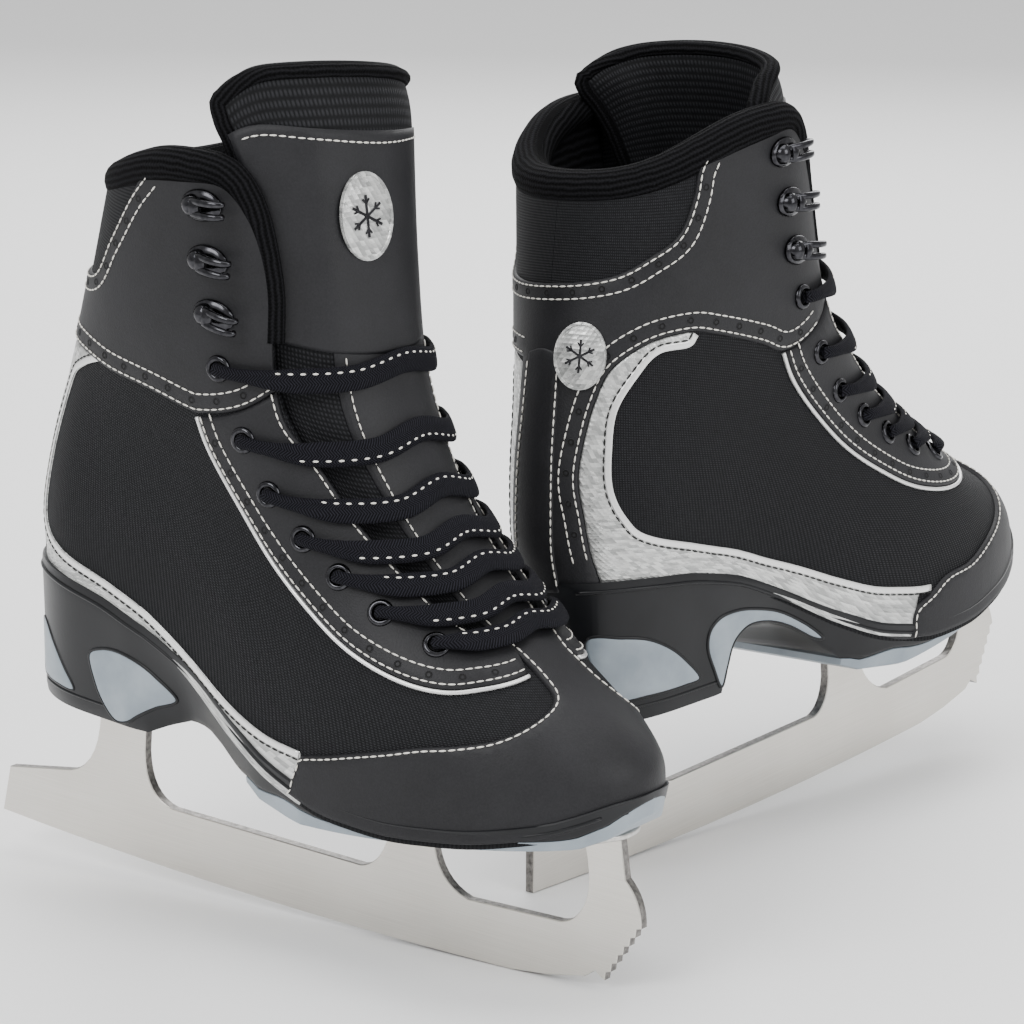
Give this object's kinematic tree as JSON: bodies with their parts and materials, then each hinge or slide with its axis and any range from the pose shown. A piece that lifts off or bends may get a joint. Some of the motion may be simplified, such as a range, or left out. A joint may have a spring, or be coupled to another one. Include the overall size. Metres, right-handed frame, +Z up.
{
  "type": "figure skates",
  "caption": "Pair of lace-up figure skates: black ankle boots with a padded collar and tongue, a heeled sole and a steel blade with toe picks.",
  "frame": {"origin": "on the ice under the middle of the box round the pair, both blades resting on z = 0", "axes": "+Z up; the pictured side faces -Y; the left skate stands towards -X with its toe forward and to the right, and the right skate towards +X with its toe back and to the right"},
  "size_m": [0.3842, 0.3406, 0.2977],
  "materials": {
    "nylon": "matte woven",
    "leather": "satin",
    "plush": "matte knit",
    "lace": "matte woven",
    "thread": "matte",
    "sole": "satin",
    "inlay": "satin",
    "silver_trim": "textured silver film",
    "steel": "brushed",
    "screws": "polished",
    "hardware": "black nickel"
  },
  "bodies": {
    "left_skate": {"left_upper_shell": "nylon", "left_toe_cap": "leather", "left_eyestay_inner": "leather", "left_eyestay_outer": "leather", "left_ankle_panel_inner": "leather", "left_ankle_panel_outer": "leather", "left_hook_inner_1": "hardware", "left_hook_inner_2": "hardware", "left_hook_inner_3": "hardware", "left_hook_outer_1": "hardware", "left_hook_outer_2": "hardware", "left_hook_outer_3": "hardware", "left_collar_padding": "plush", "left_tongue_base": "leather", "left_insole": "plush", "left_lace": "lace", "left_outsole": "sole", "left_sole_layer": "inlay", "left_heel_core": "inlay", "left_blade": "steel", "left_heel_plate": "steel", "left_sole_plate": "steel", "left_heel_screw_1": "screws", "left_heel_screw_2": "screws", "left_heel_screw_3": "screws", "left_sole_screw_1": "screws", "left_sole_screw_2": "screws", "left_sole_screw_3": "screws", "left_sole_screw_4": "screws"},
    "right_skate": {"right_upper_shell": "nylon", "right_toe_cap": "leather", "right_eyestay_inner": "leather", "right_eyestay_outer": "leather", "right_ankle_panel_inner": "leather", "right_ankle_panel_outer": "leather", "right_hook_inner_1": "hardware", "right_hook_inner_2": "hardware", "right_hook_inner_3": "hardware", "right_hook_outer_1": "hardware", "right_hook_outer_2": "hardware", "right_hook_outer_3": "hardware", "right_collar_padding": "plush", "right_tongue_base": "leather", "right_insole": "plush", "right_lace": "lace", "right_outsole": "sole", "right_sole_layer": "inlay", "right_heel_core": "inlay", "right_blade": "steel", "right_heel_plate": "steel", "right_sole_plate": "steel", "right_heel_screw_1": "screws", "right_heel_screw_2": "screws", "right_heel_screw_3": "screws", "right_sole_screw_1": "screws", "right_sole_screw_2": "screws", "right_sole_screw_3": "screws", "right_sole_screw_4": "screws"},
    "left_tongue": {"left_tongue_top": "leather"},
    "right_tongue": {"right_tongue_top": "leather"}
  },
  "joints": [
    {"name": "skates_apart", "type": "slide", "parent": "left_skate", "child": "right_skate", "axis": [1, 0, 0], "range_m": [0, 0.15]},
    {"name": "left_tongue_flex", "type": "hinge", "parent": "left_skate", "child": "left_tongue", "pos_m": [-0.06433, -0.07143, 0.20859], "axis": [-0.5537, -0.832, 0.0349], "range_deg": [0, 10], "stiffness_Nm_per_rad": 0.4},
    {"name": "right_tongue_flex", "type": "hinge", "parent": "right_skate", "child": "right_tongue", "pos_m": [0.0756, 0.05482, 0.20935], "axis": [0.7255, -0.6847, 0.0696], "range_deg": [0, 10], "stiffness_Nm_per_rad": 0.4}
  ]
}
